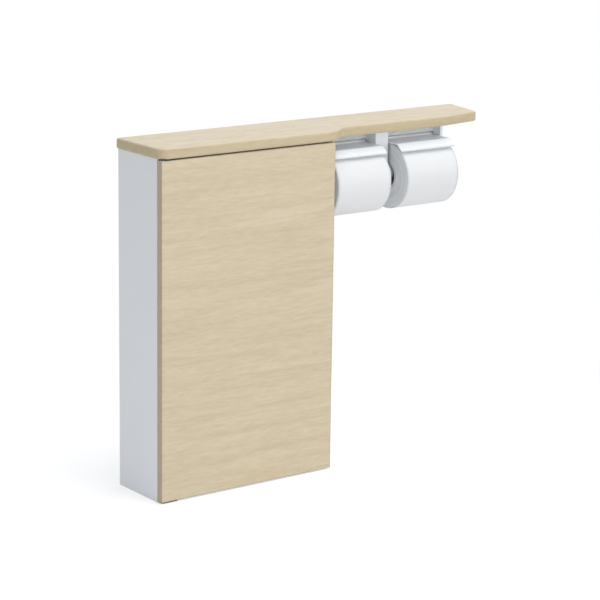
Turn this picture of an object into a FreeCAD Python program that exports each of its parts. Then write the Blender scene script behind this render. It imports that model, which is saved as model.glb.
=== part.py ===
import FreeCAD, Part
import math
import os

# A slim floor cabinet for a toilet room. One tall flat door turns on pivots at its left side, and the
# counter runs on to the right, past the cabinet, over a double paper holder with two rolls.
# X runs to the right, Y runs from the door to the wall and Z runs up from the floor.
# The origin is under the middle of the whole object, on the floor. All lengths are millimetres.

V = FreeCAD.Vector
ALONG_X = V(1, 0, 0)
ALONG_Y = V(0, 1, 0)
ALONG_Z = V(0, 0, 1)

# Driving dimensions of the whole object
counter_length = 716.0
cabinet_width = 348.0
cabinet_depth = 130.0
cabinet_height = 594.0
board = 18.0
overrun = 1.0
fit_gap = 0.05

# Counter
counter_overhang_left = 3.0
counter_overhang_front = 1.0
counter_setback = 26.0
corner_left_radius = 18.0
corner_right_radius = 8.0
step_past_cabinet = 2.0
step_radius = 30.0
step_angle = 38.0
taper_length = 105.0
taper_setback = 15.5
taper_radius = 60.0
end_lean = 19.0
counter_band = 1.0
counter_round = 4.0

# Door and the gaps round it
door_thickness = 12.0
door_gap_back = 2.0
door_gap_top = 2.0
door_gap_floor = 2.8
door_band = 1.0
door_swing_inset = 5.0
door_swing_depth = 6.0

# Carcass
plinth_rise = 20.0
back_thickness = 4.0
rail_thickness = 12.0
rail_height = 60.0
shelf_thickness = 15.0
shelf_side_gap = 1.5
shelf_front_gap = 6.0
shelf_back_gap = 1.0
pin_hole_radius = 2.5
pin_hole_depth = 9.0
pin_hole_pitch = 32.0
pin_hole_from_panel = 60.0
pin_from_front = 18.0
pin_from_back = 18.0
pin_out = 8.0
pin_in = 8.0
pin_collar_radius = 4.0
pin_collar = 1.2
shelf_height_shares = (0.17, 0.5, 0.83)
dowel_radius = 4.0
dowel_length = 30.0
dowel_in_side = 11.0
dowel_slack = 0.5
dowel_from_edge = 22.0
wall_hole_radius = 2.75
wall_hole_spacing = 240.0

# Countersunk screws
screw_radius = 1.75
screw_head_radius = 3.4
screw_head_height = 1.5
screw_slot_width = 0.9
screw_slot_length = 3.4
screw_slot_depth = 0.7
screw_short = 12.0
screw_long = 30.0

# Pivot hinges
plate_thickness = 1.3
plate_floor_gap = 0.8
plate_edge = 1.5
plate_width = 34.0
plate_length = 42.0
plate_round = 4.0
plate_leg_height = 17.0
pivot_radius = 2.0
pivot_length = 10.0
bush_radius = 3.5
bush_flange_radius = 4.5
bush_flange = 0.5
bush_length = 11.0
pivot_screw_inset = 9.0
leg_screw_shares = (0.35, 0.75)

# Push latch
latch_width = 14.0
latch_length = 50.0
latch_size = 16.0
latch_round = 3.0
latch_from_front = 1.0
latch_lug = 26.0
latch_lug_thickness = 3.0
plunger_radius = 4.0
plunger_length = 34.0
plunger_end_wall = 3.0
magnet_thickness = 3.0
magnet_round = 0.6
strike_thickness = 1.0
strike_width = 14.0
strike_height = 30.0
strike_screw_inset = 5.5
strike_screw_length = 9.0
strike_air = 0.1
latch_spring_wire = 0.6
latch_spring_turns = 7
bumper_radius = 4.0
bumper_top_share = 0.7
bumper_air = 0.2
bumper_from_end = 40.0

# Paper rolls
roll_width = 114.0
roll_diameter = 116.0
roll_round = 1.5
core_outer_radius = 20.0
core_wall = 1.0
roll_from_wall = 68.0
roll_drop = 84.0

# Double holder
holder_from_cabinet = 1.0
side_arm = 6.0
center_arm = 28.0
roll_play = 4.5
back_plate = 6.0
back_plate_below_axis = 25.0
box_depth = 49.0
box_height = 18.0
box_wall = 2.5
box_end = 10.0
arm_hub_radius = 17.0
arm_bend_round = 11.0
arm_hub_round_share = 0.85
arm_side_top_from_wall = 68.0
arm_center_from_wall = 75.0
arm_shoulder_drop = 71.0
arm_wall_drop = 80.0
arm_round = 3.0
arm_edge_round = 1.2
hub_radius = 12.0
hub_in_core = 4.0
hub_round = 2.0
hang_gap = 0.3
ring_radius = 15.5
ring_thickness = 1.5
pad_in_core = 5.0
pad_flange = 1.5
pad_flange_radius = 13.5
pad_wall = 2.0
pad_air = 0.1
pocket_web = 2.0
center_screw_inset = 14.0
pad_spring_radius = 5.5
pad_spring_wire = 0.8
pad_spring_turns = 8
holder_hole_radius = 2.25
holder_hole_spacing_x = 200.0
holder_hole_spacing_z = 56.0
holder_hole_rise = 12.0

# Covers that lie on the rolls
cover_past_roll = 2.5
cover_thickness = 2.4
cover_over_roll = 0.3
cover_hinge_from_wall = 46.0
cover_hinge_radius = 3.5
cover_crest_from_wall = 97.0
cover_lip_reach = 14.0
cover_lip_fall = 12.0
cover_bend_round = 3.0
cover_pin_radius = 1.5
cover_pin_gap = 0.1
cover_pin_in_arm = 3.0
tooth_pitch = 3.4
tooth_depth = 3.0

# Places worked out from the sizes above
wall = (cabinet_depth + counter_overhang_front) / 2
counter_front = -wall
door_front = wall - cabinet_depth
door_back = door_front + door_thickness
carcass_front = door_back + door_gap_back
counter_left = -counter_length / 2
counter_right = counter_length / 2
cabinet_left = counter_left + counter_overhang_left
cabinet_right = cabinet_left + cabinet_width
inside_left = cabinet_left + board
inside_right = cabinet_right - board
counter_under = cabinet_height - board
narrow_front = counter_front + counter_setback
back_front = wall - rail_thickness - back_thickness
door_bottom = door_gap_floor
door_top = counter_under - door_gap_top
swing_x = cabinet_left + door_swing_inset
swing_y = door_front + door_swing_depth
floor_panel_top = plinth_rise + board
roof_panel_bottom = counter_under - board
pin_rows = [carcass_front + pin_from_front, back_front - pin_from_back]
dowel_rows = [carcass_front + dowel_from_edge, back_front - dowel_from_edge]
rail_levels = [plinth_rise, counter_under - rail_height]
pin_first_level = floor_panel_top + pin_hole_from_panel
pin_steps = int((roof_panel_bottom - pin_hole_from_panel - pin_first_level) / pin_hole_pitch)
pin_levels = [pin_first_level + pin_hole_pitch * number for number in range(pin_steps + 1)]
shelf_pin_levels = [pin_levels[round(pin_steps * share)] for share in shelf_height_shares]
top_shelf_top = shelf_pin_levels[-1] + pin_hole_radius + shelf_thickness
latch_height = (top_shelf_top + roof_panel_bottom) / 2

roll_radius = roll_diameter / 2
core_inner_radius = core_outer_radius - core_wall
roll_y = wall - roll_from_wall
roll_z = counter_under - roll_drop
hub_z = roll_z + core_inner_radius - hub_radius - hang_gap
holder_left = cabinet_right + holder_from_cabinet
roll_1_left = holder_left + side_arm + roll_play
roll_1_right = roll_1_left + roll_width
center_left = roll_1_right + roll_play
center_right = center_left + center_arm
roll_2_left = center_right + roll_play
roll_2_right = roll_2_left + roll_width
holder_right = roll_2_right + roll_play + side_arm
center_x = (center_left + center_right) / 2
box_front = wall - box_depth
box_bottom = counter_under - box_height
plate_front = wall - back_plate
plate_bottom = roll_z - back_plate_below_axis
cover_under = roll_z + roll_radius + cover_over_roll
cover_hinge_y = wall - cover_hinge_from_wall
cover_hinge_z = cover_under + cover_hinge_radius
cover_crest_y = wall - cover_crest_from_wall


# Helpers for plain solids
def box(x0, x1, y0, y1, z0, z1):
    return Part.makeBox(x1 - x0, y1 - y0, z1 - z0, V(x0, y0, z0))


def rod(radius, length, start, direction):
    return Part.makeCylinder(radius, length, start, direction)


def cone(radius_start, radius_end, length, start, direction):
    return Part.makeCone(radius_start, radius_end, length, start, direction)


def cut_all(solid, cutters):
    return solid.cut(Part.makeCompound(cutters)) if cutters else solid


def group(solids):
    return Part.makeCompound(solids)


def one_solid(shape):
    return shape.removeSplitter().Solids[0]


def corner_arc(before, corner, after, radius):
    # The round that replaces a corner: where it starts, its middle and where it ends.
    to_before = (before - corner).normalize()
    to_after = (after - corner).normalize()
    half = to_before.getAngle(to_after) / 2
    reach = radius / math.tan(half)
    middle_way = (to_before + to_after).normalize()
    centre = corner + middle_way * (radius / math.sin(half))
    return corner + to_before * reach, centre - middle_way * radius, corner + to_after * reach


def rounded_wire(points):
    # A closed outline. Each point is a corner and the radius of its round, where zero keeps it sharp.
    edges = []
    ends = []
    for number, (corner, radius) in enumerate(points):
        before = points[number - 1][0]
        after = points[(number + 1) % len(points)][0]
        if radius > 0:
            start, middle, end = corner_arc(before, corner, after, radius)
            edges.append(Part.Arc(start, middle, end).toShape())
        else:
            start, end = corner, corner
            edges.append(None)
        ends.append((start, end))
    chain = []
    for number, edge in enumerate(edges):
        if edge is not None:
            chain.append(edge)
        start = ends[number][1]
        end = ends[(number + 1) % len(ends)][0]
        if start.distanceToPoint(end) > fit_gap:
            chain.append(Part.LineSegment(start, end).toShape())
    return Part.Wire(Part.__sortEdges__(chain))


def prism(points, direction):
    return Part.Face(rounded_wire(points)).extrude(direction)


def plan_prism(corners, z0, z1):
    points = [(V(x, y, z0), radius) for x, y, radius in corners]
    return prism(points, ALONG_Z * (z1 - z0))


def side_prism(corners, x0, x1):
    points = [(V(x0, y, z), radius) for y, z, radius in corners]
    return prism(points, ALONG_X * (x1 - x0))


def round_edges(solid, radius, wanted):
    edges = [edge for edge in solid.Edges if wanted(edge)]
    return solid.makeFillet(radius, edges) if edges else solid


def in_plane(edge, axis, level):
    # True where the whole edge lies at one level along an axis: 0 for X, 1 for Y and 2 for Z.
    bounds = edge.BoundBox
    low = (bounds.XMin, bounds.YMin, bounds.ZMin)[axis]
    high = (bounds.XMax, bounds.YMax, bounds.ZMax)[axis]
    return abs(low - level) < fit_gap and abs(high - level) < fit_gap


def screw_body(head, direction, length, extra):
    # The outline of a countersunk screw, a little larger all round where it is used as a cutter.
    sink = cone(screw_head_radius + extra, screw_radius + extra, screw_head_height, head, direction)
    shank = rod(screw_radius + extra, length + extra, head, direction)
    return sink.fuse(shank)


def screw(head, direction, length):
    body = screw_body(head, direction, length, 0)
    across = ALONG_X if abs(direction.x) < abs(direction.z) + abs(direction.y) else ALONG_Y
    other = direction.cross(across)
    cutters = []
    for way in (across, other):
        side = direction.cross(way)
        start = head - way * (screw_slot_length / 2) - side * (screw_slot_width / 2)
        slot = Part.makePolygon([
            start,
            start + way * screw_slot_length,
            start + way * screw_slot_length + side * screw_slot_width,
            start + side * screw_slot_width,
            start,
        ])
        cutters.append(Part.Face(slot).extrude(direction * screw_slot_depth))
    return one_solid(cut_all(body, cutters))


def screw_hole(head, direction, length):
    return screw_body(head, direction, length, fit_gap)


def helix_spring(radius, wire, turns, length, start, direction):
    # A plain compression spring between two seats, as one unbroken tube.
    pitch = (length - wire) / turns
    path = Part.makeHelix(pitch, pitch * turns, radius - wire / 2)
    section = Part.Wire(Part.makeCircle(wire / 2, V(radius - wire / 2, 0, 0), ALONG_Y))
    coil = Part.Wire(path.Edges).makePipeShell([section], True, True)
    coil.translate(ALONG_Z * (wire / 2))
    turn = FreeCAD.Rotation(ALONG_Z, direction)
    coil.Placement = FreeCAD.Placement(start, turn).multiply(coil.Placement)
    return coil


# Places of the screws and holes, used by the screws and by what they hold
def wall_holes():
    middle = (cabinet_left + cabinet_right) / 2
    places = []
    for level in rail_levels:
        for side in (-1, 1):
            places.append((middle + side * wall_hole_spacing / 2, level + rail_height / 2))
    return places


def dowel_places():
    # Where each dowel's axis meets the sides: the floor and roof panels, then the two rails.
    places = []
    for level in (plinth_rise + board / 2, roof_panel_bottom + board / 2):
        places += [(row, level) for row in dowel_rows]
    rail_y = wall - rail_thickness / 2
    for level in rail_levels:
        quarter = rail_height / 4
        places += [(rail_y, level + quarter), (rail_y, level + rail_height - quarter)]
    return places


def counter_screw_places():
    inset = plate_width + screw_long / 2
    places = []
    for x in (cabinet_left + inset, cabinet_right - inset):
        places += [(x, row) for row in dowel_rows]
    return places


def holder_counter_screw_places():
    y = (box_front + plate_front) / 2
    quarter = (holder_right - holder_left) / 4
    return [(holder_left + quarter, y), (holder_right - quarter, y)]


def arm_screw_places():
    # Two screws in each side arm, from its outer face into the end of the box.
    third = (plate_front - box_front) / 3
    level = counter_under - box_height / 2
    places = []
    for y in (box_front + third, plate_front - third):
        places.append((V(holder_left, y, level), ALONG_X))
        places.append((V(holder_right, y, level), -ALONG_X))
    return places


def center_screw_places():
    # Two screws from behind the back plate into the centre arm.
    low = counter_under - arm_wall_drop + center_screw_inset
    return [V(center_x, wall, low), V(center_x, wall, box_bottom - center_screw_inset)]


def holder_wall_holes():
    low = plate_bottom + holder_hole_rise
    places = []
    for level in (low, low + holder_hole_spacing_z):
        for side in (-1, 1):
            places.append((center_x + side * holder_hole_spacing_x / 2, level))
    return places


def bottom_leg_screw_places():
    y = carcass_front + (door_front + plate_length - carcass_front) / 2
    return [V(inside_left + plate_thickness, y, plate_floor_gap + plate_leg_height * share)
            for share in leg_screw_shares]


def top_plate_screw_places():
    right = cabinet_left + plate_width - pivot_screw_inset
    level = counter_under - plate_thickness
    rows = (door_front + pivot_screw_inset, door_front + plate_length - pivot_screw_inset)
    return [V(right, row, level) for row in rows]


# Carcass
def side_panel(left):
    x0 = cabinet_left if left else inside_right
    x1 = x0 + board
    inner = x1 if left else x0
    inward = ALONG_X if left else -ALONG_X
    panel = box(x0, x1, carcass_front, wall, 0, counter_under)
    cutters = []
    for y in pin_rows:
        for z in pin_levels:
            start = V(inner, y, z) - inward * pin_hole_depth
            cutters.append(rod(pin_hole_radius + fit_gap, pin_hole_depth + overrun, start, inward))
    for y, z in dowel_places():
        start = V(inner, y, z) - inward * dowel_in_side
        cutters.append(rod(dowel_radius + fit_gap, dowel_in_side + overrun, start, inward))
    if left:
        cutters += [screw_hole(head, -ALONG_X, screw_short) for head in bottom_leg_screw_places()]
    else:
        cutters += [screw_hole(head, ALONG_X, screw_short) for head in latch_screw_places()]
    return cut_all(panel, cutters)


def dowel_cutters(wanted):
    # Blind holes for the dowels in both ends of a panel or rail.
    depth = dowel_length - dowel_in_side + dowel_slack * 2 + overrun
    radius = dowel_radius + fit_gap
    cutters = []
    for y, z in dowel_places():
        if wanted(y, z):
            cutters.append(rod(radius, depth, V(inside_left - overrun, y, z), ALONG_X))
            cutters.append(rod(radius, depth, V(inside_right + overrun, y, z), -ALONG_X))
    return cutters


def bottom_panel():
    panel = box(inside_left, inside_right, carcass_front, back_front, plinth_rise, floor_panel_top)
    return cut_all(panel, dowel_cutters(lambda y, z: y < back_front and z < floor_panel_top))


def top_panel():
    panel = box(inside_left, inside_right, carcass_front, back_front, roof_panel_bottom, counter_under)
    cutters = dowel_cutters(lambda y, z: y < back_front and z > roof_panel_bottom)
    for x, y in counter_screw_places():
        cutters.append(screw_hole(V(x, y, roof_panel_bottom), ALONG_Z, screw_long))
    recess = box(
        inside_left - overrun, cabinet_left + plate_width + fit_gap,
        carcass_front - overrun, door_front + plate_length + fit_gap,
        counter_under - plate_thickness - fit_gap, counter_under + overrun,
    )
    return cut_all(panel, cutters + [recess])


def wall_hole_cutters():
    depth = rail_thickness + back_thickness + overrun * 2
    return [rod(wall_hole_radius, depth, V(x, wall + overrun, z), -ALONG_Y) for x, z in wall_holes()]


def back_panel():
    back = back_front + back_thickness
    panel = box(inside_left, inside_right, back_front, back, plinth_rise, counter_under)
    return cut_all(panel, wall_hole_cutters())


def hanging_rail(level):
    rail = box(inside_left, inside_right, wall - rail_thickness, wall, level, level + rail_height)
    cutters = dowel_cutters(lambda y, z: y > back_front and level < z < level + rail_height)
    return cut_all(rail, cutters + wall_hole_cutters())


def shelf(pin_level):
    bottom = pin_level + pin_hole_radius
    return box(
        inside_left + shelf_side_gap, inside_right - shelf_side_gap,
        carcass_front + shelf_front_gap, back_front - shelf_back_gap,
        bottom, bottom + shelf_thickness,
    )


def shelf_pins():
    pins = []
    places = [(row, level) for level in shelf_pin_levels for row in pin_rows]
    for y, z in places:
        for inner, inward in ((inside_left, ALONG_X), (inside_right, -ALONG_X)):
            start = V(inner, y, z)
            pin = rod(pin_hole_radius, pin_in + pin_out, start - inward * pin_in, inward)
            collar = rod(pin_collar_radius, pin_collar, start, inward)
            pins.append(one_solid(pin.fuse(collar)))
    return group(pins)


def carcass_dowels():
    dowels = []
    reach = dowel_in_side - dowel_slack
    for y, z in dowel_places():
        for inner, inward in ((inside_left, ALONG_X), (inside_right, -ALONG_X)):
            start = V(inner, y, z) - inward * reach
            dowels.append(rod(dowel_radius, dowel_length, start, inward))
    return group(dowels)


# Counter
def counter_outline(past_wall):
    # The outline seen from above: a step back beside the cabinet, a slow taper and a leaning end.
    # The left and right ends keep their lean where the outline is drawn past the wall.
    step_start = cabinet_right + step_past_cabinet
    step_end = step_start + counter_setback / math.tan(math.radians(step_angle))
    end_front = narrow_front + taper_setback
    lean_per_mm = end_lean / (wall - end_front)
    return [
        (counter_left, counter_front, corner_left_radius),
        (step_start, counter_front, step_radius),
        (step_end, narrow_front, step_radius),
        (counter_right - taper_length, narrow_front, taper_radius),
        (counter_right - end_lean, end_front, corner_right_radius),
        (counter_right + lean_per_mm * past_wall, wall + past_wall, 0),
        (counter_left, wall + past_wall, 0),
    ]


def counter_inside(z0, z1):
    # The counter without its edge band: the outline moved inwards, up to the wall.
    outline = rounded_wire([(V(x, y, z0), radius) for x, y, radius in counter_outline(counter_band)])
    return Part.Face(outline.makeOffset2D(-counter_band)).extrude(ALONG_Z * (z1 - z0))


def rounded_counter():
    slab = plan_prism(counter_outline(0), counter_under, cabinet_height)

    def on_face(edge):
        on_top = in_plane(edge, 2, cabinet_height)
        at_wall = in_plane(edge, 1, wall)
        return (on_top or in_plane(edge, 2, counter_under)) and not at_wall

    return round_edges(slab, counter_round, on_face)


def counter_board():
    slab = rounded_counter().common(counter_inside(counter_under - overrun, cabinet_height + overrun))
    cutters = []
    for x, y in counter_screw_places():
        cutters.append(screw_hole(V(x, y, roof_panel_bottom), ALONG_Z, screw_long))
    for x, y in holder_counter_screw_places():
        cutters.append(screw_hole(V(x, y, counter_under - box_wall), ALONG_Z, screw_short))
    cutters += [screw_hole(head, ALONG_Z, screw_short) for head in top_plate_screw_places()]
    return one_solid(cut_all(slab, cutters))


def counter_edge_band():
    inside = counter_inside(counter_under - overrun, cabinet_height + overrun)
    return one_solid(rounded_counter().cut(inside))


def counter_screws():
    heads = [V(x, y, roof_panel_bottom) for x, y in counter_screw_places()]
    return group([screw(head, ALONG_Z, screw_long) for head in heads])


# Door
def door_panel():
    panel = box(
        cabinet_left + door_band, cabinet_right - door_band, door_front, door_back,
        door_bottom + door_band, door_top - door_band,
    )
    strike_hole = screw_hole(strike_screw_head(), -ALONG_Y, strike_screw_length)
    return cut_all(panel, bush_cutters() + [strike_hole])


def bush_cutters():
    depth = bush_length + overrun
    low = rod(bush_radius + fit_gap, depth, V(swing_x, swing_y, door_bottom - overrun), ALONG_Z)
    high = rod(bush_radius + fit_gap, depth, V(swing_x, swing_y, door_top + overrun), -ALONG_Z)
    return [low, high]


def door_edge_band():
    outer = box(cabinet_left, cabinet_right, door_front, door_back, door_bottom, door_top)
    inner = box(
        cabinet_left + door_band, cabinet_right - door_band, door_front - overrun, door_back + overrun,
        door_bottom + door_band, door_top - door_band,
    )
    return one_solid(cut_all(outer.cut(inner), bush_cutters()))


def pivot_bush(upper):
    seat = door_top if upper else door_bottom
    inward = -ALONG_Z if upper else ALONG_Z
    centre = V(swing_x, swing_y, seat)
    body = rod(bush_radius, bush_length, centre, inward)
    flange = rod(bush_flange_radius, bush_flange, centre, -inward)
    bore = rod(pivot_radius + fit_gap, bush_length + bush_flange + overrun * 2,
               centre - inward * (bush_flange + overrun), inward)
    return one_solid(body.fuse(flange).cut(bore))


# Pivot plates: an arm in front of the side panel carries the pin, and the rest is held by screws
def plate_outline():
    left = cabinet_left + plate_edge
    right = cabinet_left + plate_width
    front = door_front + plate_edge
    neck = carcass_front - fit_gap
    back = door_front + plate_length
    return [
        (left, front, plate_round),
        (right, front, plate_round),
        (right, back, plate_round),
        (inside_left, back, 0),
        (inside_left, neck, 0),
        (left, neck, plate_round),
    ]


def pivot_plate_top():
    level = counter_under - plate_thickness
    plate = plan_prism(plate_outline(), level, counter_under)
    cutters = [rod(pivot_radius + fit_gap, plate_thickness + overrun * 2,
                   V(swing_x, swing_y, level - overrun), ALONG_Z)]
    cutters += [screw_hole(head, ALONG_Z, screw_short) for head in top_plate_screw_places()]
    return cut_all(plate, cutters)


def pivot_plate_bottom():
    level = plate_floor_gap
    plate = plan_prism(plate_outline(), level, level + plate_thickness)
    leg = box(
        inside_left, inside_left + plate_thickness, carcass_front + overrun, door_front + plate_length,
        level, level + plate_leg_height,
    )
    cutters = [rod(pivot_radius + fit_gap, plate_thickness + overrun * 2,
                   V(swing_x, swing_y, level - overrun), ALONG_Z)]
    cutters += [screw_hole(head, -ALONG_X, screw_short) for head in bottom_leg_screw_places()]
    return one_solid(cut_all(plate.fuse(leg), cutters))


def pivot_pins():
    low_start = V(swing_x, swing_y, plate_floor_gap)
    high_start = V(swing_x, swing_y, counter_under)
    reach = plate_thickness + pivot_length
    low = rod(pivot_radius, reach, low_start, ALONG_Z)
    high = rod(pivot_radius, reach, high_start, -ALONG_Z)
    return group([low, high])


def pivot_screws():
    low = [screw(head, -ALONG_X, screw_short) for head in bottom_leg_screw_places()]
    high = [screw(head, ALONG_Z, screw_short) for head in top_plate_screw_places()]
    return group(low + high)


# Push latch on the right side panel, and its plate on the door
latch_x = inside_right - latch_width / 2
latch_front = carcass_front + latch_from_front
latch_back = latch_front + latch_length
magnet_front = door_back + strike_thickness + strike_air
plunger_front = magnet_front + magnet_thickness
plunger_back = plunger_front + plunger_length


def latch_screw_places():
    y = latch_back - latch_length / 2
    x = inside_right - latch_lug_thickness
    middle = latch_size / 2 + (latch_lug - latch_size) / 4
    return [V(x, y, latch_height - middle), V(x, y, latch_height + middle)]


def latch_housing():
    half = latch_size / 2
    face = inside_right - latch_width
    body = box(face, inside_right, latch_front, latch_back, latch_height - half, latch_height + half)

    def along_face(edge):
        return in_plane(edge, 0, face) and abs(edge.BoundBox.YLength - latch_length) < fit_gap

    body = round_edges(body, latch_round, along_face)
    lug_half = latch_lug / 2
    middle = (latch_front + latch_back) / 2
    lugs = box(inside_right - latch_lug_thickness, inside_right, middle - half, middle + half,
               latch_height - lug_half, latch_height + lug_half)
    bore = rod(plunger_radius + fit_gap, latch_length - plunger_end_wall + overrun,
               V(latch_x, latch_front - overrun, latch_height), ALONG_Y)
    cutters = [bore] + [screw_hole(head, ALONG_X, screw_short) for head in latch_screw_places()]
    return one_solid(cut_all(body.fuse(lugs), cutters))


def latch_plunger():
    return rod(plunger_radius, plunger_length, V(latch_x, plunger_front, latch_height), ALONG_Y)


def latch_magnet():
    disc = rod(plunger_radius, magnet_thickness, V(latch_x, magnet_front, latch_height), ALONG_Y)
    return round_edges(disc, magnet_round, lambda edge: in_plane(edge, 1, magnet_front))


def latch_spring():
    length = latch_back - plunger_end_wall - plunger_back
    start = V(latch_x, plunger_back, latch_height)
    radius = plunger_radius - latch_spring_wire
    return helix_spring(radius, latch_spring_wire, latch_spring_turns, length, start, ALONG_Y)


def latch_screws():
    return group([screw(head, ALONG_X, screw_short) for head in latch_screw_places()])


def strike_screw_head():
    level = latch_height - strike_height / 2 + strike_screw_inset
    return V(latch_x, door_back + strike_thickness, level)


def strike_plate():
    half_width = strike_width / 2
    half_height = strike_height / 2
    plate = box(latch_x - half_width, latch_x + half_width, door_back, door_back + strike_thickness,
                latch_height - half_height, latch_height + half_height)
    return plate.cut(screw_hole(strike_screw_head(), -ALONG_Y, strike_screw_length))


def strike_screw():
    return screw(strike_screw_head(), -ALONG_Y, strike_screw_length)


def door_bumpers():
    height = door_gap_back - bumper_air
    top_radius = bumper_radius * bumper_top_share
    x = cabinet_right - board / 2
    dots = []
    for z in (door_bottom + bumper_from_end, door_top - bumper_from_end):
        dots.append(cone(bumper_radius, top_radius, height, V(x, door_back, z), ALONG_Y))
    return group(dots)


# Paper rolls
def paper_roll(left):
    start = V(left, roll_y, roll_z)
    right = left + roll_width
    roll = rod(roll_radius, roll_width, start, ALONG_X)
    roll = round_edges(roll, roll_round, lambda edge: in_plane(edge, 0, left) or in_plane(edge, 0, right))
    through = roll_width + overrun * 2
    return roll.cut(rod(core_outer_radius + fit_gap, through, start - ALONG_X * overrun, ALONG_X))


def roll_core(left):
    start = V(left, roll_y, roll_z)
    tube = rod(core_outer_radius, roll_width, start, ALONG_X)
    through = roll_width + overrun * 2
    return tube.cut(rod(core_inner_radius, through, start - ALONG_X * overrun, ALONG_X))


# Double holder
def holder_base():
    left = holder_left + side_arm
    right = holder_right - side_arm
    plate = box(left, right, plate_front, wall, plate_bottom, counter_under)
    top = box(left, right, box_front, plate_front, box_bottom, counter_under)
    cutters = []
    for start, end in ((left, center_x), (center_x, right)):
        cutters.append(box(start + box_end, end - box_end, box_front + box_wall, plate_front,
                           box_bottom - overrun, counter_under - box_wall))
    through = back_plate + overrun * 2
    for x, z in holder_wall_holes():
        cutters.append(rod(holder_hole_radius, through, V(x, wall + overrun, z), -ALONG_Y))
    for head, direction in arm_screw_places():
        cutters.append(screw_hole(head, direction, screw_short))
    for head in center_screw_places():
        cutters.append(screw_hole(head, -ALONG_Y, screw_short))
    for x, y in holder_counter_screw_places():
        cutters.append(screw_hole(V(x, y, counter_under - box_wall), ALONG_Z, screw_short))
    return one_solid(cut_all(plate.fuse(top), cutters))


def arm_outline(top_from_wall):
    # Straight down, forwards at an even slope to the hub, round below it and back up along the wall.
    top_front = wall - top_from_wall
    front = roll_y - arm_hub_radius
    shoulder = counter_under - arm_shoulder_drop
    neck = shoulder + top_front - front
    low = hub_z - arm_hub_radius
    hub_round = arm_hub_radius * arm_hub_round_share
    return [
        (top_front, counter_under, 0),
        (top_front, neck, arm_bend_round),
        (front, shoulder, arm_bend_round),
        (front, low, hub_round),
        (roll_y + arm_hub_radius, low, hub_round),
        (wall, counter_under - arm_wall_drop, arm_round),
        (wall, counter_under, 0),
    ]


def side_arm_solid(left):
    x0 = holder_left if left else holder_right - side_arm
    x1 = x0 + side_arm
    outer = x0 if left else x1
    inner = x1 if left else x0
    inward = ALONG_X if left else -ALONG_X
    arm = side_prism(arm_outline(arm_side_top_from_wall), x0, x1)
    arm = round_edges(arm, arm_edge_round, lambda edge: in_plane(edge, 0, outer)
                      and not in_plane(edge, 1, wall) and not in_plane(edge, 2, counter_under))
    stub = rod(hub_radius, roll_play + hub_in_core, V(inner, roll_y, hub_z), inward)
    end = inner + inward.x * (roll_play + hub_in_core)
    stub = round_edges(stub, hub_round, lambda edge: in_plane(edge, 0, end))
    cutters = [screw_hole(head, way, screw_short) for head, way in arm_screw_places() if way.x == inward.x]
    cutters.append(rod(cover_pin_radius + fit_gap, cover_pin_in_arm + overrun,
                       V(inner, cover_hinge_y, cover_hinge_z) - inward * cover_pin_in_arm, inward))
    return one_solid(cut_all(arm.fuse(stub), cutters))


def center_arm_solid():
    arm = side_prism(arm_outline(arm_center_from_wall), center_left, center_right)
    arm = round_edges(arm, arm_edge_round, lambda edge: edge.BoundBox.YMax < box_front
                      and (in_plane(edge, 0, center_left) or in_plane(edge, 0, center_right))
                      and not in_plane(edge, 2, counter_under))
    behind = box(center_left - overrun, center_right + overrun, plate_front, wall + overrun,
                 plate_bottom - back_plate_below_axis, counter_under + overrun)
    above = box(center_left - overrun, center_right + overrun, box_front, wall + overrun,
                box_bottom, counter_under + overrun)
    cutters = [behind, above]
    web_left = center_x - pocket_web / 2
    web_right = center_x + pocket_web / 2
    cutters.append(rod(pad_flange_radius + fit_gap, web_left - center_left + overrun,
                       V(web_left, roll_y, hub_z), -ALONG_X))
    cutters.append(rod(pad_flange_radius + fit_gap, center_right - web_right + overrun,
                       V(web_right, roll_y, hub_z), ALONG_X))
    cutters += [screw_hole(head, -ALONG_Y, screw_short) for head in center_screw_places()]
    for face, inward in ((center_left, ALONG_X), (center_right, -ALONG_X)):
        start = V(face, cover_hinge_y, cover_hinge_z) - inward * overrun
        cutters.append(rod(cover_pin_radius + fit_gap, cover_pin_in_arm + overrun, start, inward))
        start = V(face, roll_y, hub_z) - inward * overrun
        cutters.append(rod(ring_radius + fit_gap, ring_thickness + overrun, start, inward))
    return one_solid(cut_all(arm, cutters))


def pad_ring(face, inward):
    # A flat ring let into the side of the centre arm. It keeps the sprung pad in.
    start = V(face, roll_y, hub_z)
    ring = rod(ring_radius, ring_thickness, start, inward)
    mouth = rod(hub_radius + fit_gap, ring_thickness + overrun * 2, start - inward * overrun, inward)
    return ring.cut(mouth)


def roll_pad(face, outward):
    lip = face - outward.x * (ring_thickness + pad_air)
    flange = rod(pad_flange_radius, pad_flange, V(lip, roll_y, hub_z), -outward)
    reach = ring_thickness + pad_air + roll_play + pad_in_core
    hub = rod(hub_radius, reach, V(lip, roll_y, hub_z), outward)
    tip = lip + outward.x * reach
    hub = round_edges(hub, hub_round, lambda edge: in_plane(edge, 0, tip))
    hollow = rod(hub_radius - pad_wall, reach - pad_wall + pad_flange + overrun,
                 V(lip, roll_y, hub_z) - outward * (pad_flange + overrun), outward)
    return one_solid(hub.fuse(flange).cut(hollow))


def pad_spring(face, outward):
    web = center_x + outward.x * pocket_web / 2
    tip = face + outward.x * (roll_play + pad_in_core)
    length = abs(tip - web) - pad_wall
    start = V(web, roll_y, hub_z)
    return helix_spring(pad_spring_radius, pad_spring_wire, pad_spring_turns, length, start, outward)


def arm_screws():
    solids = [screw(head, way, screw_short) for head, way in arm_screw_places()]
    solids += [screw(head, -ALONG_Y, screw_short) for head in center_screw_places()]
    return group(solids)


def holder_counter_screws():
    level = counter_under - box_wall
    return group([screw(V(x, y, level), ALONG_Z, screw_short) for x, y in holder_counter_screw_places()])


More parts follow.
